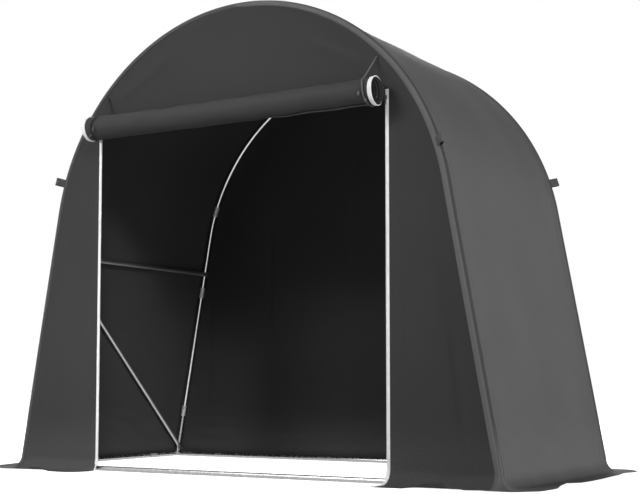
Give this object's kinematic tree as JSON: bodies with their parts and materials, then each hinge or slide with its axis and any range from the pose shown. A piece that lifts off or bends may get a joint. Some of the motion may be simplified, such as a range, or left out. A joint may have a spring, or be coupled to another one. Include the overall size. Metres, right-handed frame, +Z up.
{
  "type": "bike shelter",
  "caption": "Arched tent-like shelter for bicycles: bolted tube bows under a dark stretched cover, with its door leaf rolled up and tied over the open front.",
  "frame": {"origin": "middle of the footprint at ground level, halfway between the two bows", "axes": "+X along the width to the right seen from the front, +Y from the doorway to the back, +Z up"},
  "size_m": [2.4028, 1.305, 1.8002],
  "materials": {
    "tube_steel": "galvanised, satin, bright",
    "strut_steel": "galvanised, dull",
    "sleeve": "zinc plated, matt",
    "bolt_steel": "zinc plated",
    "nut_plastic": "black, matt",
    "cover_cloth": "dark grey coated polyester, matt",
    "panel_cloth": "dark grey coated polyester, matt",
    "zip_tape": "white woven tape",
    "slider_metal": "grey, satin",
    "tie_webbing": "black woven band",
    "loop_webbing": "black woven band"
  },
  "bodies": {
    "root": {"corner_front_left": "tube_steel", "corner_front_right": "tube_steel", "corner_rear_left": "tube_steel", "corner_rear_right": "tube_steel", "front_leg_left": "tube_steel", "front_leg_right": "tube_steel", "rear_leg_left": "tube_steel", "rear_leg_right": "tube_steel", "front_knee_left": "tube_steel", "front_knee_right": "tube_steel", "rear_knee_left": "tube_steel", "rear_knee_right": "tube_steel", "front_bow": "tube_steel", "rear_bow": "tube_steel", "front_sill": "tube_steel", "rear_sill": "tube_steel", "base_rail_left": "tube_steel", "base_rail_right": "tube_steel", "side_rail_left": "strut_steel", "side_rail_right": "strut_steel", "brace_left": "strut_steel", "brace_right": "strut_steel", "ridge_rail": "strut_steel", "front_sleeves": "sleeve", "rear_sleeves": "sleeve", "base_sleeves": "sleeve", "frame_bolts": "bolt_steel", "wing_nuts": "nut_plastic", "side_cover_left": "cover_cloth", "side_cover_right": "cover_cloth", "roof_cover": "cover_cloth", "side_flap_left": "cover_cloth", "side_flap_right": "cover_cloth", "front_panel_left": "panel_cloth", "front_panel_right": "panel_cloth", "front_panel_top": "panel_cloth", "rear_panel": "panel_cloth", "rolled_door": "panel_cloth", "rolled_zips": "zip_tape", "zip_left": "zip_tape", "zip_right": "zip_tape", "zip_sliders": "slider_metal", "roll_ties": "tie_webbing", "guy_loops": "loop_webbing"}
  },
  "joints": []
}
